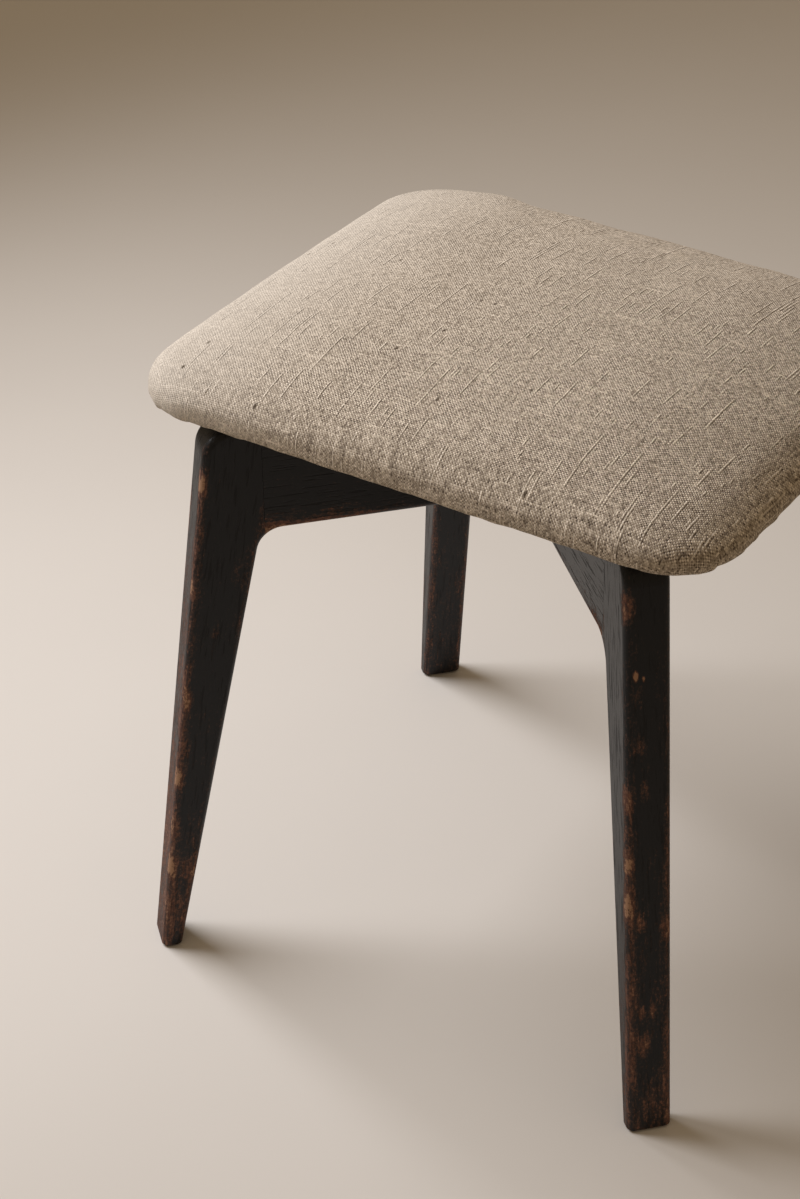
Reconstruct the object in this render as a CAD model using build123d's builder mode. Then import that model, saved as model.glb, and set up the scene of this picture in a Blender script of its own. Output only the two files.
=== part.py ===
from build123d import *
import os
from math import atan2, cos, degrees, hypot, radians, sin, sqrt

# Frame, in millimetres; reach is measured along a diagonal from the middle of the stool
frame_height = 415.0
timber = 30.0
foot_reach = 278.0
foot_depth = 14.5
top_reach = 227.0
shoulder_depth = 44.0
rail_depth = 79.0
knee_radius = 18.0
top_corner_radius = 22.0
edge_round = 5.0
foot_ease = 2.0

# Joints of the frame
joint_setback = 2.0
glue_line = 0.2
lap_clearance = 0.2
dowel_diameter = 10.0
dowel_depth = 24.0
dowel_margin = 20.0
dowel_clearance = 0.1
dowel_end_gap = 0.8
dowel_chamfer = 1.0

# Upholstered seat, fixed a little askew on its frame
seat_width = 425.0
seat_depth = 349.0
seat_corner_radius = 46.0
seat_turn = -2.2
pad_height = 46.0
crown_radius = 1750.0
edge_roll = 20.0
tuck = 10.0
cover_thickness = 1.2
wadding_thickness = 5.0
layer_gap = 0.3
hem_width = 44.0
least_corner_radius = 4.0
least_side = 1.0
board_thickness = 12.0
board_inset = 12.0

# Tacks along the hem
tack_head_diameter = 7.0
tack_head_height = 0.8
tack_shank_diameter = 1.8
tack_length = 9.0
tack_inset = 24.0
tack_clearance = 0.05
tack_leg_gap = 12.0
tacks_per_side = 9

# Screws through the rails into the board
screw_reach = 112.0
screw_diameter = 4.5
screw_head_diameter = 8.5
screw_head_height = 3.0
screw_slot_width = 1.2
screw_slot_depth = 1.2
screw_grip = 30.0
screw_bite = 9.0
screw_clearance = 0.1
screw_tip_gap = 1.0
counterbore_diameter = 11.0

# Worked out from the sizes above
rail_bottom = frame_height - rail_depth
splay = (foot_reach - top_reach) / frame_height
shoulder_reach = foot_reach - splay * rail_bottom - shoulder_depth
joint_reach = shoulder_reach - joint_setback
dowel_heights = (rail_bottom + dowel_margin, frame_height - dowel_margin)
edge_radius = min(edge_round, foot_depth / 2 - foot_ease)
board_bottom = frame_height + cover_thickness
board_top = board_bottom + board_thickness
corner_cut = seat_corner_radius * (1 - sqrt(0.5))
corner_reach = hypot(seat_width / 2 - corner_cut, seat_depth / 2 - corner_cut)
corner_side = pad_height - corner_reach**2 / (2 * crown_radius)
side_share = min(1, (corner_side - least_side) / (edge_roll + tuck))
roll_radius = side_share * edge_roll
tuck_radius = side_share * tuck

# Legs stand on the diagonals, and each rail joins two opposite legs
corners = {"front_right": (1, -1), "back_right": (1, 1), "back_left": (-1, 1), "front_left": (-1, -1)}
leg_angles = {place: degrees(atan2(y, x)) for place, (x, y) in corners.items()}
rail_ends = {"rail_lower": ("back_right", "front_left"), "rail_upper": ("back_left", "front_right")}


def diagonal_plane(angle):
    """Upright plane through the middle: its x runs out along the diagonal and its y is up."""
    a = radians(angle)
    return Plane((0, 0, 0), x_dir=(cos(a), sin(a), 0), z_dir=(sin(a), -cos(a), 0))


def joint_plane(angle, reach):
    """Upright plane square to the diagonal at the given reach, facing outwards, with y up."""
    a = radians(angle)
    place = (reach * cos(a), reach * sin(a), 0)
    return Plane(place, x_dir=(-sin(a), cos(a), 0), z_dir=(cos(a), sin(a), 0))


def arch(angle):
    """Two legs and the rail between them, shaped as one before the joints are cut."""
    half = [
        (shoulder_reach, rail_bottom),
        (foot_reach - foot_depth, 0),
        (foot_reach, 0),
        (top_reach, frame_height),
    ]
    other_half = [(-x, y) for x, y in reversed(half)]
    with BuildPart() as shape:
        with BuildSketch(diagonal_plane(angle)) as outline:
            with BuildLine():
                Polyline(*half, *other_half, close=True)
            make_face()
            for side in (1, -1):
                knee = outline.vertices().sort_by_distance((side * shoulder_reach, rail_bottom))[0]
                fillet(knee, knee_radius)
                top_corner = outline.vertices().sort_by_distance((side * top_reach, frame_height))[0]
                fillet(top_corner, top_corner_radius)
        extrude(amount=timber / 2, both=True)
        cheeks = shape.faces().sort_by(SortBy.AREA)[-2:]
        fillet(cheeks.edges().filter_by(lambda edge: edge.center().Z > foot_ease), edge_radius)
        chamfer(shape.faces().filter_by(Axis.Z).group_by(Axis.Z)[0].edges(), foot_ease)
    return shape.part


def rounded_slab(inset, bottom, top):
    """Flat slab with the outline of the seat, the inset inside it."""
    corner = max(seat_corner_radius - inset, least_corner_radius)
    with BuildPart() as slab:
        with BuildSketch(Plane.XY.offset(bottom)):
            RectangleRounded(seat_width - 2 * inset, seat_depth - 2 * inset, corner, rotation=seat_turn)
        extrude(amount=top - bottom)
    return slab.part


def crowned_pad(inset, bottom):
    """Pad with a domed top and a rolled upper edge, the inset inside the outer face of the cover."""
    least_wall = frame_height + corner_side - inset - bottom
    with BuildPart() as pad:
        add(rounded_slab(inset, bottom, frame_height + pad_height))
        with Locations((0, 0, frame_height + pad_height - crown_radius)):
            Sphere(crown_radius - inset, rotation=(90, 0, 0), mode=Mode.INTERSECT)
        fillet(pad.faces().sort_by(Axis.Z)[-1].edges(), min(roll_radius - inset, least_wall - least_side))
    return pad.part


def tucked_pad(inset):
    """Crowned pad whose sides draw in to the underside of the seat."""
    with BuildPart() as pad:
        add(crowned_pad(inset, frame_height + inset))
        fillet(pad.faces().sort_by(Axis.Z)[0].edges(), tuck_radius - inset)
    return pad.part


def spread(half_span):
    """Evenly spaced places for one row of tacks, from end to end of the span."""
    step = 2 * half_span / (tacks_per_side - 1)
    return [-half_span + step * i for i in range(tacks_per_side)]


def tack_points():
    """Places of the tacks round the hem, clear of the tops of the legs."""
    across = seat_width / 2 - tack_inset
    along = seat_depth / 2 - tack_inset
    leg_room = sqrt(2) * timber / 2 + tack_head_diameter / 2 + tack_leg_gap
    straight_x = min(across - seat_corner_radius / 2, along - leg_room)
    straight_y = min(along - seat_corner_radius / 2, across - leg_room)
    rows = [(x, side * along) for side in (-1, 1) for x in spread(straight_x)]
    columns = [(side * across, y) for side in (-1, 1) for y in spread(straight_y)]
    return [Vector(x, y).rotate(Axis.Z, seat_turn) for x, y in rows + columns]


os.makedirs("parts", exist_ok=True)

# Legs: each is cut from its arch at the joint and bored for its dowels
arches = {name: arch(leg_angles[ends[0]]) for name, ends in rail_ends.items()}
for name, ends in rail_ends.items():
    for place in ends:
        joint = joint_plane(leg_angles[place], joint_reach)
        with BuildPart() as leg:
            add(arches[name])
            split(bisect_by=joint, keep=Keep.TOP)
            with BuildSketch(joint):
                with Locations(*[(0, height) for height in dowel_heights]):
                    Circle(dowel_diameter / 2 + dowel_clearance)
            extrude(amount=dowel_depth + dowel_end_gap, mode=Mode.SUBTRACT)
        leg.part.label = f"leg_{place}"
        export_step(leg.part, f"parts/leg_{place}.step")

# Dowels: a pair across each joint between leg and rail
for place, angle in leg_angles.items():
    with BuildPart() as dowels:
        with BuildSketch(joint_plane(angle, joint_reach)):
            with Locations(*[(0, height) for height in dowel_heights]):
                Circle(dowel_diameter / 2)
        extrude(amount=dowel_depth, both=True)
        chamfer(dowels.edges().filter_by(GeomType.CIRCLE), dowel_chamfer)
    dowels.part.label = f"dowels_{place}"
    export_step(dowels.part, f"parts/dowels_{place}.step")

# Rails: halved together where they cross, the lower one notched from above and the upper from below
lap_height = rail_bottom + rail_depth / 2
notch_bottoms = {"rail_lower": lap_height, "rail_upper": rail_bottom - rail_depth / 2}
rail_reach = joint_reach - glue_line
screw_shoulder = frame_height - screw_grip
screw_points = {
    place: (screw_reach * cos(radians(angle)), screw_reach * sin(radians(angle)))
    for place, angle in leg_angles.items()
}
for name, ends in rail_ends.items():
    with BuildPart() as rail:
        add(arches[name])
        for place in ends:
            joint = joint_plane(leg_angles[place], rail_reach)
            split(bisect_by=joint, keep=Keep.BOTTOM)
            with BuildSketch(joint):
                with Locations(*[(0, height) for height in dowel_heights]):
                    Circle(dowel_diameter / 2 + dowel_clearance)
            extrude(amount=-(dowel_depth + dowel_end_gap), mode=Mode.SUBTRACT)
        with BuildSketch(Plane.XY.offset(notch_bottoms[name])):
            Rectangle(timber + lap_clearance, 2 * timber, rotation=leg_angles[ends[0]])
        extrude(amount=rail_depth, mode=Mode.SUBTRACT)
        for place in ends:
            with Locations(Plane((*screw_points[place], rail_bottom), z_dir=(0, 0, -1))):
                CounterBoreHole(
                    screw_diameter / 2 + screw_clearance,
                    counterbore_diameter / 2,
                    rail_depth - screw_grip,
                )
    rail.part.label = name
    export_step(rail.part, f"parts/{name}.step")

# Seat board: plywood with blind holes for the screws and the tacks
with BuildPart() as board:
    add(rounded_slab(board_inset, board_bottom, board_top))
    with BuildSketch(Plane.XY.offset(board_bottom)):
        with Locations(*screw_points.values()):
            Circle(screw_diameter / 2 + screw_clearance)
    extrude(amount=screw_bite + screw_tip_gap, mode=Mode.SUBTRACT)
    with BuildSketch(Plane.XY.offset(board_bottom)):
        with Locations(*tack_points()):
            Circle(tack_shank_diameter / 2 + tack_clearance)
    extrude(amount=tack_length, mode=Mode.SUBTRACT)
board.part.label = "seat_board"
export_step(board.part, "parts/seat_board.step")

# Pad: sits on the board and has the crown of the seat
wadding_inset = cover_thickness + layer_gap
foam_inset = wadding_inset + wadding_thickness + layer_gap
with BuildPart() as foam:
    add(crowned_pad(foam_inset, board_top))
foam.part.label = "seat_foam"
export_step(foam.part, "parts/seat_foam.step")

# Wadding: lies over the pad and down round the edge of the board
with BuildPart() as wadding:
    add(tucked_pad(wadding_inset))
    add(crowned_pad(foam_inset - layer_gap, board_top), mode=Mode.SUBTRACT)
    add(rounded_slab(board_inset - layer_gap, frame_height, board_top), mode=Mode.SUBTRACT)
wadding.part.label = "seat_wadding"
export_step(wadding.part, "parts/seat_wadding.step")

# Cover: linen over the whole seat, with its hem turned under the board
with BuildPart() as cover:
    add(tucked_pad(0))
    add(tucked_pad(cover_thickness), mode=Mode.SUBTRACT)
    add(rounded_slab(hem_width, frame_height, board_bottom), mode=Mode.SUBTRACT)
    with BuildSketch(Plane.XY.offset(frame_height)):
        with Locations(*tack_points()):
            Circle(tack_shank_diameter / 2 + tack_clearance)
    extrude(amount=cover_thickness, mode=Mode.SUBTRACT)
cover.part.label = "seat_cover"
export_step(cover.part, "parts/seat_cover.step")

# Tacks: flat heads against the hem, shanks up into the board
with BuildPart() as tacks:
    with BuildSketch(Plane.XY.offset(frame_height)):
        with Locations(*tack_points()):
            Circle(tack_head_diameter / 2)
    extrude(amount=-tack_head_height)
    with BuildSketch(Plane.XY.offset(frame_height)):
        with Locations(*tack_points()):
            Circle(tack_shank_diameter / 2)
    extrude(amount=tack_length)
tacks.part.label = "cover_tacks"
export_step(tacks.part, "parts/cover_tacks.step")

# Screws: slotted heads up in the rails, shanks into the board
with BuildPart() as screws:
    with BuildSketch(Plane.XY.offset(screw_shoulder)):
        with Locations(*screw_points.values()):
            Circle(screw_head_diameter / 2)
    extrude(amount=-screw_head_height)
    with BuildSketch(Plane.XY.offset(screw_shoulder)):
        with Locations(*screw_points.values()):
            Circle(screw_diameter / 2)
    extrude(amount=screw_grip + cover_thickness + screw_bite)
    with BuildSketch(Plane.XY.offset(screw_shoulder - screw_head_height)):
        with Locations(*screw_points.values()):
            Rectangle(screw_head_diameter * 2, screw_slot_width)
    extrude(amount=screw_slot_depth, mode=Mode.SUBTRACT)
screws.part.label = "seat_screws"
export_step(screws.part, "parts/seat_screws.step")
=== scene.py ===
"""Looks of a worn black stool with a linen seat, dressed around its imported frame."""
from math import atan2, cos, exp, hypot, pi, radians, sin, sqrt, tanh

import bmesh
import bpy
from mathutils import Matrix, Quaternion, Vector, noise


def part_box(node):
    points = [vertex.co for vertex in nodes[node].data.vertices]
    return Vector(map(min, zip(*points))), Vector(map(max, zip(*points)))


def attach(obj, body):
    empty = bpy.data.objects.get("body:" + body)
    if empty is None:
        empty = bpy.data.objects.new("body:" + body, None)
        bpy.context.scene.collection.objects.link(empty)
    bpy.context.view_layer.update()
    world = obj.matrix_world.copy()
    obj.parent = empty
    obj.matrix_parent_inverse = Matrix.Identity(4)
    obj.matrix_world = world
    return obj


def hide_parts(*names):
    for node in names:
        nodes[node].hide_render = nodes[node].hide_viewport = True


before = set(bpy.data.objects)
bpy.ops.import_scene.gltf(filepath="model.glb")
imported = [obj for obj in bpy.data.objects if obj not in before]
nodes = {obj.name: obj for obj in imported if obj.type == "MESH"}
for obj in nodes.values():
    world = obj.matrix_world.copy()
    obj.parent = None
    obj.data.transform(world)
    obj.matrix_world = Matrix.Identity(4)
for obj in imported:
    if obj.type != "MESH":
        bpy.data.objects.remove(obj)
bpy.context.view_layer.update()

# Timber, in metres; reach runs out along a diagonal from the middle of the stool
FRAME_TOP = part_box("leg_front_right")[1].z
RAIL_BOTTOM = 0.336
HALF_TIMBER = 0.015
FOOT_REACH = 0.278
FOOT_DEPTH = 0.0145
TOP_REACH = 0.227
SHOULDER_REACH = 0.1927
SPLAY = (FOOT_REACH - TOP_REACH) / FRAME_TOP
DRAW_IN = (FOOT_REACH - FOOT_DEPTH - SHOULDER_REACH) / RAIL_BOTTOM

# Seat, fixed a little askew on its frame. CORNER, ROLL, TUCK and CROWN are radii: of its corners in plan,
# of its top and bottom edges, and of its top as a whole, which falls faster over a shoulder along the rim.
SEAT_TURN = radians(-2.2)
HALF_WIDTH = 0.2138
HALF_DEPTH = 0.1760
CORNER = 0.0505
ROLL = 0.0250
TUCK = 0.0125
PAD_HEIGHT = 0.0545
CROWN = 4.2
SHOULDER = 0.130
SHOULDER_DROP = 0.0200
SHOULDER_CURVE = 2.2
END_SHOULDER = 0.110
END_DROP = 0.0060
CLOTH = 0.0012
HEM = 0.044
CORNER_ARC = CORNER * pi / 4

# Heights above the frame, below which a point or a whole face belongs to the underside of the cover
UNDERSIDE = 0.003
HEM_CUT = 0.0025

# Layers under the cover; the wadding has a mouth underneath, where its lowest faces look down
FOAM_INSET = 0.0100
WADDING_INSET = 0.0040
WADDING_LIFT = 0.004
WADDING = 0.0050
LAYER_TUCK = 0.003
LAYER_VOXEL = 0.006
LAYER_MOUTH = 0.004
FACES_DOWN = -0.7

# Faces across each rounded edge of a pad
CORNER_STEPS = 12
ROLL_STEPS = 8
TUCK_STEPS = 6

# Simulation of the stuffed cover
SWELL = 0.0027
VOXEL = 0.005
PRESSURE = 4.0
FRAMES = 20
FARTHEST_MOVE = 0.008
RIM_HOLD = 0.8
RIM_START = 0.01
RIM_WIDTH = 0.03

# Unevenness of the stuffed cover: lumps and puckers all over, and one bulge at the back edge. All fade out
# towards the lower edge, and lumps and puckers also move the rim outwards, by a share of their height.
HELD_BELOW = 0.004
FREE_ABOVE = 0.016
RIM_SHARE = 0.6
LUMP = 0.0009
LUMPS_PER_METRE = 14
PUCKER = 0.0005
PUCKERS_PER_METRE = 42
BULGE_PLACE = -0.132
BULGE_WIDTH = 0.024
BULGE_EDGE = (0.120, 0.165)
BULGE_RISE = 0.0026
BULGE_PUSH = 0.0028

# Lower edge of the cover: the band that hangs, and its ripples
HANG_HEIGHT = 0.018
HANG_FADE = 0.012
RIPPLE_DROP = 0.0006
RIPPLE_PUSH = 0.0005
RIPPLES_PER_METRE = 33
SMALL_RIPPLES_PER_METRE = 90
SMALL_RIPPLE_SHARE = 0.6

# Ends of the pleats that take up the cloth at a corner: distance along the rim from the middle of the
# corner, and how far the edge hangs there. The near corner has them in full, and a share goes outwards too.
PLEATS = (
    (-0.088, 0.0), (-0.085, 0.0006), (-0.062, 0.0001), (-0.059, 0.0009), (-0.045, 0.0003),
    (-0.042, 0.0010), (-0.0185, 0.0), (-0.0156, 0.0012), (0.0300, 0.0006), (0.0335, 0.0),
)
FAR_PLEATS = 0.75
PLEAT_PUSH = 0.5

# Linen: spacing of its threads, and its colours
THREAD = 0.00108
LINEN_DARK = (0.085, 0.063, 0.047)
LINEN_MIDDLE = (0.40, 0.335, 0.266)
LINEN_LIGHT = (0.80, 0.70, 0.585)
# Paler colour painted over the left end of the linen as painted light
LINEN_PAINTED_LIGHT = (0.63, 0.59, 0.54)
LINEN_SHEEN = (1.0, 0.86, 0.70, 1.0)
DARK_KNOT = (0.085, 0.062, 0.042)

# Timber colours, from sound paint to the palest wood
PAINT = (0.0032, 0.0035, 0.0052)
RUBBED = (0.050, 0.0265, 0.0200)
BROWN = (0.085, 0.041, 0.031)
BARE = (0.170, 0.085, 0.061)
PALE = (0.31, 0.180, 0.110)

# Distances from a sharp edge between which its wear fades out
OUTER_ARRIS = (0.0021, 0.0100)
INNER_ARRIS = (0.0021, 0.0070)
RAIL_ARRIS = (0.0022, 0.0080)

# Scuffs: height, place across the face and radius, in metres, and strength, which is full in the core
SCUFF_SQUASH = 0.45
SCUFF_CORE = 0.2
OUTER_SCUFFS = (
    (0.383, -0.0130, 0.0075, 0.18), (0.337, -0.0080, 0.0026, 0.62), (0.3345, -0.0030, 0.0016, 0.50),
    (0.322, -0.0060, 0.0065, 0.18), (0.289, -0.0050, 0.0060, 0.25), (0.256, -0.0025, 0.0055, 0.26),
    (0.250, -0.0135, 0.0060, 0.18), (0.206, -0.0140, 0.0060, 0.19), (0.173, -0.0140, 0.0080, 0.21),
    (0.162, -0.0055, 0.0050, 0.22), (0.153, 0.0120, 0.0060, 0.14), (0.093, -0.0050, 0.0040, 0.25),
    (0.094, 0.0020, 0.0040, 0.20), (0.068, -0.0040, 0.0060, 0.22), (0.020, 0.0000, 0.0160, 0.09),
)
CHEEK_SCUFFS = (
    (0.299, 0.2430, 0.0060, 0.32), (0.404, 0.2270, 0.0050, 0.22), (0.378, 0.2310, 0.0055, 0.27),
    (0.317, 0.2060, 0.0080, 0.14), (0.305, 0.2090, 0.0080, 0.16), (0.262, 0.2275, 0.0050, 0.16),
    (0.212, 0.2490, 0.0060, 0.20), (0.146, 0.2590, 0.0065, 0.24), (0.071, 0.2690, 0.0075, 0.26),
    (0.068, 0.2550, 0.0080, 0.17), (0.105, 0.2640, 0.0070, 0.20), (0.030, 0.2680, 0.0120, 0.14),
)
LEG_MARKS = {
    "front_right": {"outer_marks": OUTER_SCUFFS},
    "front_left": {"cheek_marks": CHEEK_SCUFFS, "outer_wear": 0.22},
    "back_left": {"outer_wear": 0.05},
    "back_right": {"outer_wear": 0.05},
}

# Hidden pieces: the dark and the light colour of each, and the rust of the fasteners
PLY_COLOURS = ((0.36, 0.225, 0.12), (0.60, 0.43, 0.26))
PEG_COLOURS = ((0.42, 0.26, 0.14), (0.62, 0.43, 0.26))
FOAM_COLOURS = ((0.66, 0.58, 0.36), (0.80, 0.73, 0.52))
WADDING_COLOURS = ((0.78, 0.77, 0.74), (0.88, 0.87, 0.85))
TACK_COLOURS = ((0.03, 0.03, 0.035), (0.10, 0.10, 0.11), (0.10, 0.045, 0.02))
SCREW_COLOURS = ((0.40, 0.40, 0.38), (0.62, 0.62, 0.60), (0.22, 0.12, 0.06))
FOAM_SPOTS = 900.0
WADDING_SPOTS = 400.0

# Signs of x and y along the diagonal of each leg and rail
LEGS = {"front_right": (1, -1), "back_right": (1, 1), "back_left": (-1, 1), "front_left": (-1, -1)}
RAILS = {"rail_lower": (1, 1), "rail_upper": (1, -1)}

# Studio: floor, a window to the left, a warm room, and the photograph's view
FLOOR_SIZE = 6
FLOOR_COLOURS = ((0.635, 0.60, 0.565), (0.675, 0.64, 0.605))
WINDOW_PLACE = Vector((-1.146, -0.120, 1.353))
WINDOW_AIM = Vector((0.6, -0.07, 0.0))
WINDOW_SIZE = 1.0
WINDOW_SPREAD = radians(124)
WINDOW_POWER = 16.4
WINDOW_COLOUR = (0.97, 0.975, 1.0)
ROOM_COLOUR = (1.0, 0.77, 0.51, 1)
ROOM_STRENGTH = 0.31
EYE = Vector((0.7916, -1.4696, 1.3425))
EYE_AIM = Vector((-0.1101, -0.0012, 0.2050))
EYE_ROLL = radians(-0.857)
SENSOR_WIDTH = 36
LENS = 87.07

# Lengths that count as nothing: of an offset, and between two levels
TINY = 1e-6
LEVEL = 1e-5


class Field:
    """One output of a material's nodes; sums and products of fields add Math nodes."""

    def __init__(self, tree, socket=None):
        self.tree = tree
        self.socket = socket

    def node(self, kind, inputs=(), output=0, stops=(), **settings):
        """Adds a node, first its settings, then the values or links of its sockets, and gives one output."""
        made = self.tree.nodes.new(kind)
        for name, value in settings.items():
            setattr(made, name, value)
        for place, _ in stops[2:]:
            made.color_ramp.elements.new(place)
        for element, (place, colour) in zip(made.color_ramp.elements if stops else (), stops):
            element.position = place
            element.color = (*colour, 1)
        for key, value in dict(inputs).items():
            if isinstance(value, Field):
                self.tree.links.new(value.socket, made.inputs[key])
            else:
                made.inputs[key].default_value = value
        return Field(self.tree, made.outputs[output])

    def maths(self, operation, *values):
        return self.node("ShaderNodeMath", enumerate(values), operation=operation)

    def __add__(self, other):
        return self.maths("ADD", self, other)

    def __sub__(self, other):
        return self.maths("SUBTRACT", self, other)

    def __rsub__(self, other):
        return self.maths("SUBTRACT", other, self)

    def __mul__(self, other):
        return self.maths("MULTIPLY", self, other)

    def __truediv__(self, other):
        return self.maths("DIVIDE", self, other)

    def __pow__(self, other):
        return self.maths("POWER", self, other)

    def __abs__(self):
        return self.maths("ABSOLUTE", self)

    __radd__ = __add__
    __rmul__ = __mul__

    def floor(self):
        return self.maths("FLOOR", self)

    def larger(self, other):
        return self.maths("MAXIMUM", self, other)

    def rise(self, low, high):
        """Goes smoothly from 0 at low to 1 at high."""
        inputs = {"Value": self, "From Min": low, "From Max": high}
        return self.node("ShaderNodeMapRange", inputs, interpolation_type="SMOOTHSTEP")

    def fall(self, low, high):
        """Goes smoothly from 1 at low to 0 at high."""
        return 1 - self.rise(low, high)

    def parts(self):
        """The three numbers of a vector."""
        return [self.node("ShaderNodeSeparateXYZ", {"Vector": self}, output=i) for i in range(3)]

    def vector(self, x=0.0, y=0.0, z=0.0):
        return self.node("ShaderNodeCombineXYZ", {"X": x, "Y": y, "Z": z})

    def noise(self, place, detail=2.0, roughness=0.5, output="Fac"):
        inputs = {"Vector": place, "Scale": 1.0, "Detail": detail, "Roughness": roughness}
        return self.node("ShaderNodeTexNoise", inputs, output=output)

    def mix(self, colour_a, colour_b):
        """A colour between two, by this field."""
        inputs = {0: self, 6: rgba(colour_a), 7: rgba(colour_b)}
        return self.node("ShaderNodeMix", inputs, output=2, data_type="RGBA")


def rgba(colour):
    return colour if isinstance(colour, Field) else (*colour, 1)


def new_material(name, **constants):
    """A new material: the field its nodes start from, its Principled shader and the material itself."""
    material = bpy.data.materials.new(name)
    material.use_nodes = True
    shader = material.node_tree.nodes["Principled BSDF"]
    for socket, value in constants.items():
        shader.inputs[socket.replace("_", " ")].default_value = value
    return Field(material.node_tree), shader, material


def object_place(start):
    """The three Object coordinates of a point."""
    return start.node("ShaderNodeTexCoord", output="Object").parts()


def feed(field, shader, socket):
    field.tree.links.new(field.socket, shader.inputs[socket])


def bump(field, height, distance, strength=1.0):
    return field.node("ShaderNodeBump", {"Height": height, "Distance": distance, "Strength": strength})


def timber_place(start, sign_x, sign_y):
    """Coordinates on one diagonal of the frame: reach along it, side across it, and height."""
    x, y, height = object_place(start)
    reach = (x * sign_x + y * sign_y) * sqrt(0.5)
    side = (x * sign_x - y * sign_y) * sqrt(0.5)
    return reach, side, height


def edge_gap(gap_a, gap_b):
    """Distance from the sharp edge where two faces would meet."""
    return (gap_a * gap_a + gap_b * gap_b) ** 0.5


def scuffed(start, across, height, marks):
    """Strength of the scuffs around the given marks, each taller than it is wide."""
    place = start.vector(across, height * SCUFF_SQUASH)
    total = None
    for mark_height, mark_across, radius, strength in marks:
        centre = (mark_across, mark_height * SCUFF_SQUASH, 0)
        gap = place.node("ShaderNodeVectorMath", {0: place, 1: centre}, output="Value", operation="DISTANCE")
        scuff = gap.fall(radius * SCUFF_CORE, radius) * strength
        total = scuff if total is None else total.larger(scuff)
    return total


def rail_wear(reach, side, height):
    """Worn edges of a rail, and its extra wear: most along the lower edge, towards the legs."""
    edges = edge_gap(height - RAIL_BOTTOM, HALF_TIMBER - abs(side)).fall(*RAIL_ARRIS)
    lower_edge = height.fall(RAIL_BOTTOM + 0.003, RAIL_BOTTOM + 0.020)
    bias = abs(reach).rise(0.07, 0.18) * lower_edge * 0.24 - 0.07
    return edges, bias


def leg_wear(start, reach, side, height, outer_wear=0.0, outer_marks=(), cheek_marks=()):
    """Worn edges of a leg, and its extra wear: towards the foot, on the outer face and in the scuffs."""
    from_cheek = HALF_TIMBER - abs(side)
    from_outside = FOOT_REACH - height * SPLAY - reach
    from_inside = reach - (FOOT_REACH - FOOT_DEPTH) + height * DRAW_IN
    edges = edge_gap(from_outside, from_cheek).fall(*OUTER_ARRIS)
    edges = edges.larger(edge_gap(from_inside, from_cheek).fall(*INNER_ARRIS) * 0.75)
    edges = edges * height.fall(FRAME_TOP - 0.030, FRAME_TOP - 0.010)
    rubbed_face = from_outside.fall(0.0005, 0.0035) * height.fall(0.28, 0.40) * (1 - edges * 0.85)
    sound_paint = height.rise(0.08, 0.26) * (1 - edges)
    bias = height.fall(0.0, 0.26) * 0.040 + edges * height.fall(0.02, 0.30) * 0.060
    bias = bias + rubbed_face * outer_wear - sound_paint * 0.08
    if outer_marks:
        bias = bias + scuffed(start, side, height, outer_marks) * from_outside.fall(0.005, 0.009)
    if cheek_marks:
        bias = bias + scuffed(start, reach, height, cheek_marks) * side.fall(-0.0115, -0.0080)
    return edges, bias


def black_timber(name, sign_x, sign_y, rail=False, **marks):
    """Black paint over brown timber: open grain along the piece, worn through in ragged patches, mostly
    at the edges and towards the foot."""
    start, shader, material = new_material(name, Specular_IOR_Level=0.30)
    reach, side, height = timber_place(start, sign_x, sign_y)
    seed = 17.0 * sign_x + 41.0 * sign_y
    if rail:
        along = reach
        across = height
        edges, bias = rail_wear(reach, side, height)
    else:
        along = height
        across = reach + height * (SPLAY + DRAW_IN) / 2
        edges, bias = leg_wear(start, reach, side, height, **marks)

    def fibre(per_across, per_side, per_along, detail, roughness=0.5):
        """Noise drawn out along the grain, with its spots per metre in the three directions."""
        place = start.vector(across * per_across, side * per_side, along * per_along + seed)
        return start.noise(place, detail, roughness)

    grain = fibre(1400.0, 1400.0, 24.0, 3.0, 0.6)
    pores = fibre(620.0, 620.0, 40.0, 2.0).rise(0.57, 0.66)
    stretches = fibre(30.0, 60.0, 11.0, 2.0)
    patches = fibre(95.0, 95.0, 30.0, 4.0, 0.62)
    streaks = fibre(480.0, 480.0, 60.0, 4.0, 0.66)
    chips = fibre(560.0, 560.0, 400.0, 4.0, 0.68)

    ragged = (patches * 0.26 + streaks * 0.30 + chips * 0.44 - 0.5) * 1.55 + 0.5
    wear = ragged + edges * (0.03 + stretches.rise(0.36, 0.60) * 0.12) + bias * 0.9
    rubbed = wear.rise(0.52, 0.70)
    bare = wear.rise(0.65, 0.76)
    pale = wear.rise(0.80, 0.90)

    brown = (streaks * 0.55 + chips * 0.45).rise(0.40, 0.64).mix(BROWN, BARE)
    colour = rubbed.mix(PAINT, RUBBED)
    colour = bare.mix(colour, brown)
    colour = pale.mix(colour, PALE)
    feed(colour, shader, "Base Color")
    feed(0.34 + grain * 0.14 + pores * 0.20 + rubbed * 0.18 + bare * 0.32, shader, "Roughness")
    relief = grain * 0.34 - pores * 0.62 - bare * 0.45 - rubbed * 0.12
    feed(bump(start, relief, 0.00035, 0.9), shader, "Normal")
    return material


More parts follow.
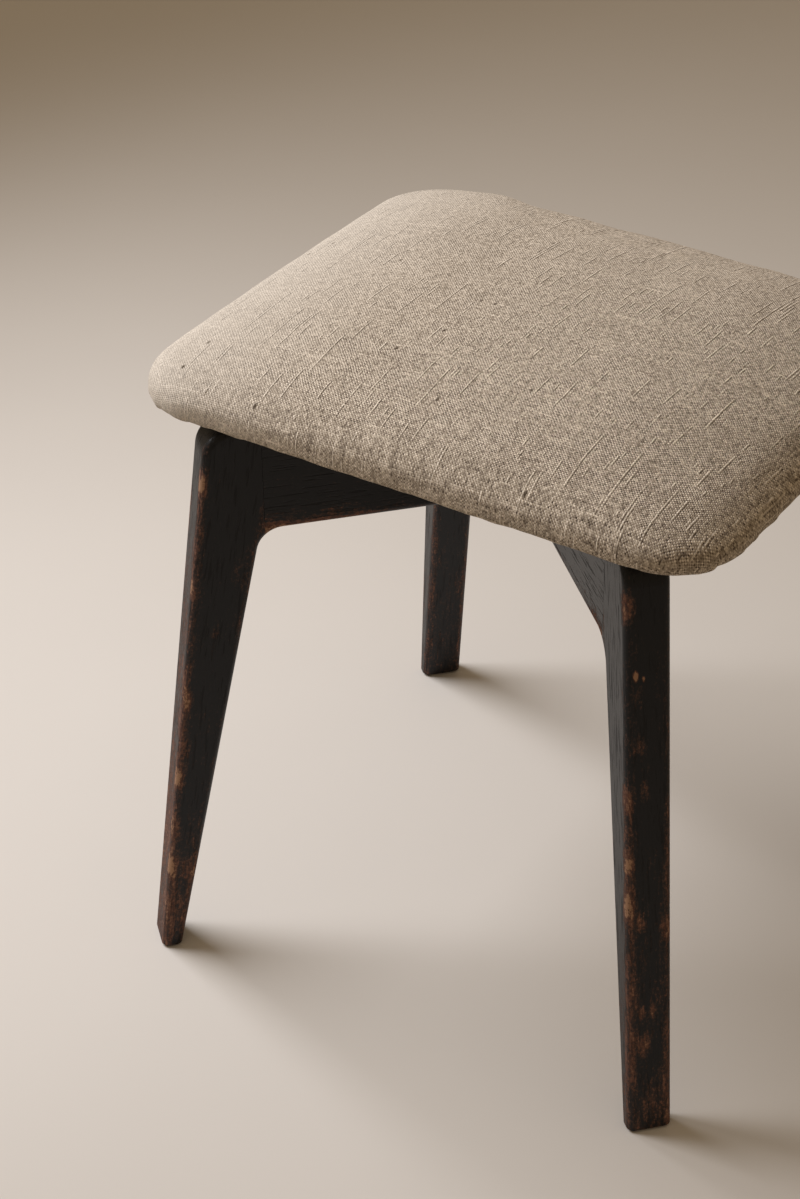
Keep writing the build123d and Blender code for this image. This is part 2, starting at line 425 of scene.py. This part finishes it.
def linen_slubs(start, warp, weft_number, u, v):
    """Thick stretches of yarn: the left side of those along the warp with a painted highlight and the right
    side with a painted shadow, and those across it.
    """
    pair = warp * 0.5
    pair_number = pair.floor()
    pair_middle = pair - pair_number - 0.5
    long_slub = start.noise(start.vector(pair_number * 8.13, v * 17.0, 14.0), 1.0).rise(0.60, 0.70)
    short_slub = start.noise(start.vector(pair_number * 5.77, v * 46.0, 31.0), 1.0).rise(0.64, 0.72)
    slub = long_slub.larger(short_slub)
    # Painted highlight on the left flank of a slub and painted shadow on its right flank, as if lit from the
    # left; in the relief they are its raised flanks
    light = slub * (1 - abs(pair_middle + 0.12) * 3.4).larger(0.0)
    dark = slub * (1 - abs(pair_middle - 0.28) * 4.4).larger(0.0)
    cross = start.noise(start.vector(weft_number * 6.31, u * 26.0, 3.0), 1.0).rise(0.62, 0.72)
    return light, dark, cross


def linen_knots(start, u, v):
    """Small knots in the yarn, and those of them that are dark."""
    inputs = {"Vector": start.vector(u * 120.0, v * 66.0, 2.0), "Scale": 1.0}
    gap = start.node("ShaderNodeTexVoronoi", inputs, output="Distance")
    kind, pick, _ = start.node("ShaderNodeTexVoronoi", inputs, output="Color").parts()
    knot = gap.fall(0.04, 0.20) * pick.rise(0.74, 0.80)
    return knot, knot * kind.rise(0.60, 0.66)


def linen():
    """Coarse natural linen: a plain weave of uneven yarn, with slubs that stand up and small knots; the
    slubs carry a painted highlight on their left flank and a painted shadow on their right. Its left end is
    painted paler, with a flatter weave, as painted light, and its right end a little darker, with a deeper
    weave, as painted shade. Where it turns down over the sides, the weave shows less and the uneven warp
    more."""
    start, shader, material = new_material(
        "natural_linen", Roughness=0.92, Specular_IOR_Level=0.1,
        Sheen_Weight=0.26, Sheen_Roughness=0.5, Sheen_Tint=LINEN_SHEEN,
    )
    u, v, _ = start.node("ShaderNodeAttribute", output="Vector", attribute_name="weave").parts()
    drift_u, drift_v, _ = start.noise(start.vector(u * 20.0, v * 20.0), 2.0, output="Color").parts()
    shake_u, shake_v, _ = start.noise(start.vector(u * 210.0, v * 210.0, 6.0), 1.0, output="Color").parts()
    warp = (u + drift_u * 0.0030 + shake_u * 0.0008) / THREAD
    weft = (v + drift_v * 0.0030 + shake_v * 0.0008) / THREAD
    warp_number = warp.floor()
    weft_number = weft.floor()
    warp_middle = warp - warp_number - 0.5
    weft_middle = weft - weft_number - 0.5
    over = warp.maths("PINGPONG", warp_number + weft_number, 1.0)
    yarn = 1 - (over * warp_middle * warp_middle + (1 - over) * weft_middle * weft_middle) * 4

    warp_uneven = start.noise(start.vector(warp_number * 7.31, v * 70.0), 3.0, 0.6)
    weft_uneven = start.noise(start.vector(weft_number * 9.17, u * 70.0, 5.0), 3.0, 0.6)
    uneven = over * warp_uneven + (1 - over) * weft_uneven
    warp_fleck = start.noise(start.vector(warp_number * 5.71, v * 310.0, 8.0), 1.0)
    weft_fleck = start.noise(start.vector(weft_number * 4.93, u * 310.0, 17.0), 1.0)
    fleck = warp_fleck * 0.65 + weft_fleck * 0.35
    crossing = start.vector(warp_number, weft_number)
    cell = start.node("ShaderNodeTexWhiteNoise", {"Vector": crossing}, noise_dimensions="3D")

    slub_painted_lit_flank, slub_painted_shadow_flank, cross_slub = linen_slubs(start, warp, weft_number, u, v)
    knot, dark_knot = linen_knots(start, u, v)
    clouds = start.noise(start.vector(u * 14.0, v * 14.0, 4.0), 3.0)
    loose = start.noise(start.vector(u * 55.0, v * 55.0, 9.0), 2.0).rise(0.35, 0.65)
    # Painted light: the left end, on the lamp's side, is painted paler and its weave flatter
    left_painted_light = u.fall(-0.23, -0.06)
    # Painted shade: the right end, away from the lamp, is painted darker and its weave deeper
    right_painted_shade = u.rise(0.03, 0.20)
    side = abs(u).rise(0.180, 0.215).larger(abs(v).rise(0.142, 0.178))

    tone = (over - 0.5) * (0.66 - loose * 0.30) * (1 - side * 0.70) + (cell - 0.5) * 0.46
    tone = tone + (uneven - 0.5) * 0.8 + (warp_uneven - 0.5) * side * 0.6 + (fleck - 0.5) * 1.4
    # Painted highlight and painted shadow on the two flanks of each slub along the warp
    tone = tone + slub_painted_lit_flank * 0.55 + cross_slub * 0.22 - slub_painted_shadow_flank * (1 - side * 0.7) * 0.62
    # Painted light at the left end and painted shade at the right end, in the tone and its contrast
    tone = tone * (1 - left_painted_light * 0.42 + right_painted_shade * 0.12) + left_painted_light * 0.10 - right_painted_shade * 0.050
    tone = tone + (clouds - 0.5) * 0.14 + 0.530
    stops = [(0.0, LINEN_DARK), (0.5, LINEN_MIDDLE), (1.0, LINEN_LIGHT)]
    colour = tone.node("ShaderNodeValToRGB", {"Fac": tone}, stops=stops)
    # Paler colour painted over the left end as painted light
    colour = (left_painted_light * 0.45).mix(colour, LINEN_PAINTED_LIGHT)
    colour = dark_knot.mix(colour, DARK_KNOT)
    feed(colour, shader, "Base Color")
    relief = yarn * (0.5 + uneven * 0.6) + slub_painted_lit_flank * 1.5 - slub_painted_shadow_flank * (1 - side) * 0.6
    relief = relief + cross_slub * 0.6 + knot * 1.4
    feed(bump(start, relief, 0.00042, 1.0), shader, "Normal")
    return material


def plain_cloth(name, dark, light, spots):
    """Foam or wadding: soft, matt and finely mottled, with so many spots per metre."""
    start, shader, material = new_material(name, Roughness=0.95)
    x, y, z = object_place(start)
    mottle = start.noise(start.vector(x * spots, y * spots, z * spots), 4.0, 0.7)
    feed(mottle.rise(0.3, 0.7).mix(dark, light), shader, "Base Color")
    feed(bump(start, mottle, 0.0015, 0.7), shader, "Normal")
    return material


def plywood():
    """Birch board: pale face grain, and plies that show at the edge."""
    start, shader, material = new_material("birch_plywood", Roughness=0.62)
    x, y, z = object_place(start)
    figure = start.noise(start.vector(x * 6.0, y * 55.0, z * 55.0), 4.0, 0.6)
    fibres = start.noise(start.vector(x * 60.0, y * 900.0, z * 900.0), 2.0)
    plies = z.maths("PINGPONG", z * 650.0, 1.0).rise(0.35, 0.65)
    tone = figure * 0.6 + fibres * 0.25 + plies * 0.15
    feed(tone.rise(0.3, 0.75).mix(*PLY_COLOURS), shader, "Base Color")
    feed(bump(start, fibres, 0.0002, 0.6), shader, "Normal")
    return material


def dowel_wood():
    """Turned beech pegs with fine flecks."""
    start, shader, material = new_material("beech_peg", Roughness=0.55)
    x, y, z = object_place(start)
    flecks = start.noise(start.vector(x * 160.0, y * 160.0, z * 700.0), 3.0)
    feed(flecks.rise(0.3, 0.7).mix(*PEG_COLOURS), shader, "Base Color")
    feed(bump(start, flecks, 0.0001, 0.5), shader, "Normal")
    return material


def steel(name, dark, light, rust):
    """Small fastener: worn metal with a bloom of rust."""
    start, shader, material = new_material(name, Metallic=1.0)
    x, y, z = object_place(start)
    stain = start.noise(start.vector(x * 300.0, y * 300.0, z * 300.0), 4.0, 0.7)
    colour = stain.rise(0.35, 0.6).mix(dark, light)
    feed(stain.rise(0.58, 0.7).mix(colour, rust), shader, "Base Color")
    feed(0.32 + stain * 0.35, shader, "Roughness")
    return material


def dress(node, material):
    mesh = nodes[node].data
    mesh.materials.clear()
    mesh.materials.append(material)


def new_object(name, mesh, material):
    piece = bpy.data.objects.new(name, mesh)
    bpy.context.scene.collection.objects.link(piece)
    mesh.materials.clear()
    mesh.materials.append(material)
    for face in mesh.polygons:
        face.use_smooth = True
    return piece


def turned(x, y, turn):
    return x * cos(turn) - y * sin(turn), x * sin(turn) + y * cos(turn)


def rim_offset(x, y):
    """Nearest point of the seat's core rectangle, and the way from it to the given point."""
    core_x = max(-(HALF_WIDTH - CORNER), min(HALF_WIDTH - CORNER, x))
    core_y = max(-(HALF_DEPTH - CORNER), min(HALF_DEPTH - CORNER, y))
    return core_x, core_y, x - core_x, y - core_y


def top_drop(x, y):
    """How far the top lies below its middle: a wide crown, a soft shoulder towards the rim, and a right
    end that has sunk a little more."""
    share_x = max(0.0, abs(x) - HALF_WIDTH + SHOULDER) / SHOULDER
    share_y = max(0.0, abs(y) - HALF_DEPTH + SHOULDER) / SHOULDER
    level = (1 - share_x ** SHOULDER_CURVE) * (1 - share_y ** SHOULDER_CURVE)
    share_end = max(0.0, x - HALF_WIDTH + END_SHOULDER) / END_SHOULDER
    return (x * x + y * y) / (2 * CROWN) + SHOULDER_DROP * (1 - level) + END_DROP * share_end ** 2


def round_edges(shape, edges, radius, steps):
    bmesh.ops.bevel(
        shape, geom=edges, offset=radius, offset_type="OFFSET", affect="EDGES",
        segments=steps, profile=0.5, material=-1, clamp_overlap=False,
    )


def padded_block(inset, low, high, tuck):
    """A slab inside the seat's outline, with round corners, a rolled top edge and a tucked bottom edge."""
    shape = bmesh.new()
    bmesh.ops.create_cube(shape, size=1)
    size = (2 * (HALF_WIDTH - inset), 2 * (HALF_DEPTH - inset), high - low)
    middle = (low + high) / 2
    bmesh.ops.scale(shape, vec=size, verts=shape.verts)
    bmesh.ops.translate(shape, vec=(0, 0, middle), verts=shape.verts)
    uprights = [e for e in shape.edges if abs(e.verts[0].co.z - e.verts[1].co.z) > (high - low) / 2]
    round_edges(shape, uprights, CORNER - inset, CORNER_STEPS)
    tops = [e for e in shape.edges if min(v.co.z for v in e.verts) > middle]
    round_edges(shape, tops, ROLL - inset, ROLL_STEPS)
    if tuck:
        bottoms = [e for e in shape.edges if max(v.co.z for v in e.verts) < low + LEVEL]
        round_edges(shape, bottoms, tuck, TUCK_STEPS)
    return shape


def remeshed(shape, name, voxel):
    """The same form with even faces of about the voxel's size."""
    mesh = bpy.data.meshes.new(name)
    shape.to_mesh(mesh)
    shape.free()
    carrier = bpy.data.objects.new(name, mesh)
    bpy.context.scene.collection.objects.link(carrier)
    remesh = carrier.modifiers.new("Even faces", "REMESH")
    remesh.mode = "VOXEL"
    remesh.voxel_size = voxel
    even = bpy.data.meshes.new_from_object(carrier.evaluated_get(bpy.context.evaluated_depsgraph_get()))
    bpy.data.objects.remove(carrier)
    bpy.data.meshes.remove(mesh)
    return even


def crowned(mesh, low, high):
    """Drops the top of a flat pad towards its rim, so that it has the seat's crown, and turns the pad."""
    for vertex in mesh.vertices:
        x, y, z = vertex.co
        lift = max(0.0, min(1.0, (z - low) / (high - low)))
        z -= lift * top_drop(x, y)
        vertex.co = (*turned(x, y, SEAT_TURN), z)


def swollen(piece):
    """Stuffs the piece: its cloth is blown up from inside, held under the seat and firmly round the rim."""
    mesh = piece.data
    start = [v.co.copy() for v in mesh.vertices]
    held = piece.vertex_groups.new(name="held")
    for vertex in mesh.vertices:
        x, y = turned(vertex.co.x, vertex.co.y, -SEAT_TURN)
        _, _, out_x, out_y = rim_offset(x, y)
        rim = max(0.0, min(1.0, (hypot(out_x, out_y) - RIM_START) / RIM_WIDTH))
        under = vertex.co.z < FRAME_TOP + UNDERSIDE
        held.add([vertex.index], 1.0 if under else RIM_HOLD * rim, "REPLACE")
    cloth = piece.modifiers.new("Stuffing", "CLOTH")
    cloth.settings.vertex_group_mass = "held"
    cloth.settings.pin_stiffness = 1.0
    cloth.settings.use_pressure = True
    cloth.settings.uniform_pressure_force = PRESSURE
    cloth.settings.effector_weights.gravity = 0
    scene = bpy.context.scene
    for frame_number in range(1, FRAMES + 1):
        scene.frame_set(frame_number)
    evaluated = piece.evaluated_get(bpy.context.evaluated_depsgraph_get())
    moves = [v.co - place for v, place in zip(evaluated.data.vertices, start)]
    piece.modifiers.remove(cloth)
    piece.vertex_groups.remove(held)
    scene.frame_set(1)
    for vertex, place, move in zip(mesh.vertices, start, moves):
        length = move.length
        if length > 0:
            vertex.co = place + move * (FARTHEST_MOVE * tanh(length / FARTHEST_MOVE) / length)


def between(value, low, high):
    """Goes smoothly from 0 at low to 1 at high."""
    share = max(0.0, min(1.0, (value - low) / (high - low)))
    return share * share * (3 - 2 * share)


def pleat_drop(along):
    """How far the lower edge hangs at a distance along the rim from the middle of a corner."""
    for (before, drop_before), (after, drop_after) in zip(PLEATS, PLEATS[1:]):
        if before <= along < after:
            return drop_before + (drop_after - drop_before) * (along - before) / (after - before)
    return 0.0


def waves(x, y, z, per_metre, shift=0):
    """Smooth noise with about so many waves per metre; another shift gives another pattern."""
    return noise.noise(Vector((x * per_metre, y * per_metre, z * per_metre + shift)))


def sculpted(mesh):
    """Small moves of the stuffed cover: uneven stuffing, a bulge at the back edge, a wavy lower edge and
    the pleats at its corners."""
    for vertex in mesh.vertices:
        x, y = turned(vertex.co.x, vertex.co.y, -SEAT_TURN)
        z = vertex.co.z
        core_x, core_y, out_x, out_y = rim_offset(x, y)
        out = hypot(out_x, out_y)
        free = between(z, FRAME_TOP + HELD_BELOW, FRAME_TOP + FREE_ABOVE)
        stuffing = LUMP * free * waves(x, y, z, LUMPS_PER_METRE)
        stuffing += PUCKER * free * waves(x, y, z, PUCKERS_PER_METRE, 5)
        z += stuffing
        if out > TINY:
            way_x = out_x / out
            way_y = out_y / out
            bulge = exp(-((x - BULGE_PLACE) / BULGE_WIDTH) ** 2) * between(y, *BULGE_EDGE) * free
            z += BULGE_RISE * bulge
            push = stuffing * RIM_SHARE + BULGE_PUSH * bulge
            along = CORNER * atan2(abs(out_y), abs(out_x)) - CORNER_ARC
            along -= HALF_DEPTH - CORNER - abs(core_y)
            along += HALF_WIDTH - CORNER - abs(core_x)
            mirrored = x * y > 0
            hang = between(FRAME_TOP + HANG_HEIGHT - z, 0.0, HANG_FADE)
            hang *= between(out, CORNER - TUCK - HANG_FADE, CORNER - TUCK)
            drop = pleat_drop(-along if mirrored else along) * (1.0 if x > 0 > y else FAR_PLEATS)
            ripple = waves(x, y, 0, RIPPLES_PER_METRE, 2)
            ripple += SMALL_RIPPLE_SHARE * waves(x, y, 0, SMALL_RIPPLES_PER_METRE, 6)
            z -= hang * (drop + RIPPLE_DROP * ripple)
            push += hang * (drop * PLEAT_PUSH + RIPPLE_PUSH * ripple)
            x += way_x * push
            y += way_y * push
        vertex.co = (*turned(x, y, SEAT_TURN), z)


def finer(piece):
    """The piece's mesh with one subdivision applied."""
    smooth = piece.modifiers.new("Finer faces", "SUBSURF")
    smooth.levels = smooth.render_levels = 1
    mesh = bpy.data.meshes.new_from_object(piece.evaluated_get(bpy.context.evaluated_depsgraph_get()))
    piece.modifiers.remove(smooth)
    coarse = piece.data
    mesh.name = coarse.name
    piece.data = mesh
    bpy.data.meshes.remove(coarse)
    return mesh


def weave_place(co):
    """Where a point of the cover lies on the flat cloth: it is unrolled over the edge and under the seat."""
    x, y = turned(co.x, co.y, -SEAT_TURN)
    core_x, core_y, out_x, out_y = rim_offset(x, y)
    out = hypot(out_x, out_y)
    if out < TINY:
        return x, y, 0.0
    roll_out = CORNER - ROLL
    roll_height = FRAME_TOP + PAD_HEIGHT - top_drop(x, y) - ROLL
    tuck_out = CORNER - TUCK
    tuck_height = FRAME_TOP + TUCK
    if co.z >= roll_height:
        length = out if out < roll_out else roll_out + ROLL * atan2(out - roll_out, co.z - roll_height)
    elif co.z >= tuck_height:
        length = roll_out + ROLL * pi / 2 + roll_height - co.z
    else:
        length = roll_out + ROLL * pi / 2 + roll_height - tuck_height
        turn = atan2(tuck_height - co.z, max(out - tuck_out, TINY))
        length += TUCK * turn if out > tuck_out else TUCK * pi / 2 + tuck_out - out
    return core_x + out_x / out * length, core_y + out_y / out * length, 0.0


def store_weave(mesh):
    weave = mesh.attributes.new("weave", "FLOAT_VECTOR", "POINT")
    for vertex, place in zip(mesh.vertices, weave.data):
        place.vector = weave_place(vertex.co)


def open_underside(mesh):
    """Cuts the board's opening out of the underside and leaves the hem."""
    shape = bmesh.new()
    shape.from_mesh(mesh)
    half_x = HALF_WIDTH - HEM
    half_y = HALF_DEPTH - HEM
    for way_x, way_y, half in ((1, 0, half_x), (-1, 0, half_x), (0, 1, half_y), (0, -1, half_y)):
        normal = Vector((*turned(way_x, way_y, SEAT_TURN), 0))
        under = [f for f in shape.faces if max(v.co.z for v in f.verts) < FRAME_TOP + HEM_CUT]
        edges = [e for f in under for e in f.edges]
        points = [v for f in under for v in f.verts]
        parts = list(dict.fromkeys(under + edges + points))
        bmesh.ops.bisect_plane(shape, geom=parts, plane_co=normal * half, plane_no=normal)
    inside = []
    for face in shape.faces:
        middle = face.calc_center_median()
        x, y = turned(middle.x, middle.y, -SEAT_TURN)
        if middle.z < FRAME_TOP + UNDERSIDE and abs(x) < half_x and abs(y) < half_y:
            inside.append(face)
    bmesh.ops.delete(shape, geom=inside, context="FACES")
    shape.to_mesh(mesh)
    shape.free()


def thicken(piece, name, thickness):
    """Gives a surface its thickness, inwards."""
    thick = piece.modifiers.new(name, "SOLIDIFY")
    thick.thickness = thickness
    thick.offset = -1


def seat_cover(material):
    """The linen cover: blown up over its pad, open under the board inside its hem."""
    low = FRAME_TOP
    high = FRAME_TOP + PAD_HEIGHT - SWELL
    mesh = remeshed(padded_block(0.0, low, high, TUCK), "linen_cover", VOXEL)
    crowned(mesh, low, high)
    cover = new_object("linen_cover", mesh, material)
    swollen(cover)
    mesh = finer(cover)
    sculpted(mesh)
    open_underside(mesh)
    store_weave(mesh)
    thicken(cover, "Cloth", CLOTH)
    return cover


def inner_pad(name, material, inset, low, wrap=0.0):
    """A stuffed layer under the cover; with a wrap it is a layer of that thickness, open underneath."""
    high = FRAME_TOP + PAD_HEIGHT - inset
    shape = padded_block(inset, low, high, 0.0 if wrap else LAYER_TUCK)
    mesh = remeshed(shape, name, LAYER_VOXEL)
    crowned(mesh, low, high)
    piece = new_object(name, mesh, material)
    if wrap:
        shape = bmesh.new()
        shape.from_mesh(mesh)
        lowest = [f for f in shape.faces if f.calc_center_median().z < low + LAYER_MOUTH]
        mouth = [f for f in lowest if f.normal.z < FACES_DOWN]
        bmesh.ops.delete(shape, geom=mouth, context="FACES")
        shape.to_mesh(mesh)
        shape.free()
        thicken(piece, "Layer", wrap)
    return piece


def studio_floor():
    """A plain pale floor with the faintest clouding."""
    shape = bmesh.new()
    bmesh.ops.create_grid(shape, x_segments=1, y_segments=1, size=FLOOR_SIZE)
    mesh = bpy.data.meshes.new("floor")
    shape.to_mesh(mesh)
    shape.free()
    start, shader, material = new_material("pale_floor", Roughness=0.62, Specular_IOR_Level=0.25)
    x, y, _ = object_place(start)
    clouds = start.noise(start.vector(x * 3.0, y * 3.0), 4.0)
    feed(clouds.mix(*FLOOR_COLOURS), shader, "Base Color")
    floor = new_object("floor", mesh, material)


def studio_light():
    """Light from a soft window on the left, in a dim warm room."""
    world = bpy.data.worlds.new("room")
    world.use_nodes = True
    background = world.node_tree.nodes["Background"]
    background.inputs["Color"].default_value = ROOM_COLOUR
    background.inputs["Strength"].default_value = ROOM_STRENGTH
    bpy.context.scene.world = world
    lamp = bpy.data.lights.new("window", "AREA")
    lamp.shape = "SQUARE"
    lamp.size = WINDOW_SIZE
    lamp.spread = WINDOW_SPREAD
    lamp.energy = WINDOW_POWER
    lamp.color = WINDOW_COLOUR
    window = bpy.data.objects.new("window", lamp)
    window.location = WINDOW_PLACE
    window.rotation_euler = (WINDOW_AIM - WINDOW_PLACE).to_track_quat("-Z", "Y").to_euler()
    bpy.context.scene.collection.objects.link(window)


def photo_camera():
    """The photograph's view: eye, aim and roll."""
    data = bpy.data.cameras.new("camera")
    data.sensor_width = SENSOR_WIDTH
    data.lens = LENS
    camera = bpy.data.objects.new("camera", data)
    camera.location = EYE
    turn = (EYE_AIM - EYE).to_track_quat("-Z", "Y") @ Quaternion((0, 0, 1), EYE_ROLL)
    camera.rotation_euler = turn.to_euler()
    bpy.context.scene.collection.objects.link(camera)
    bpy.context.scene.camera = camera


pegs = dowel_wood()
for corner, signs in LEGS.items():
    dress(f"leg_{corner}", black_timber(f"black_leg_{corner}", *signs, **LEG_MARKS[corner]))
    dress(f"dowels_{corner}", pegs)
for rail_name, signs in RAILS.items():
    dress(rail_name, black_timber(f"black_{rail_name}", *signs, rail=True))
dress("seat_board", plywood())
dress("cover_tacks", steel("blued_steel", *TACK_COLOURS))
dress("seat_screws", steel("zinc_steel", *SCREW_COLOURS))

cover = seat_cover(linen())
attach(cover, "root")
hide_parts("seat_cover")

board_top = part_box("seat_board")[1].z
foam_cloth = plain_cloth("foam", *FOAM_COLOURS, FOAM_SPOTS)
foam = inner_pad("foam_pad", foam_cloth, FOAM_INSET, board_top)
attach(foam, "root")
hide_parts("seat_foam")

wadding_cloth = plain_cloth("wadding", *WADDING_COLOURS, WADDING_SPOTS)
wadding = inner_pad("wadding_layer", wadding_cloth, WADDING_INSET, FRAME_TOP + WADDING_LIFT, wrap=WADDING)
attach(wadding, "root")
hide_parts("seat_wadding")

studio_floor()
studio_light()
photo_camera()
bpy.context.scene.view_settings.view_transform = "Standard"
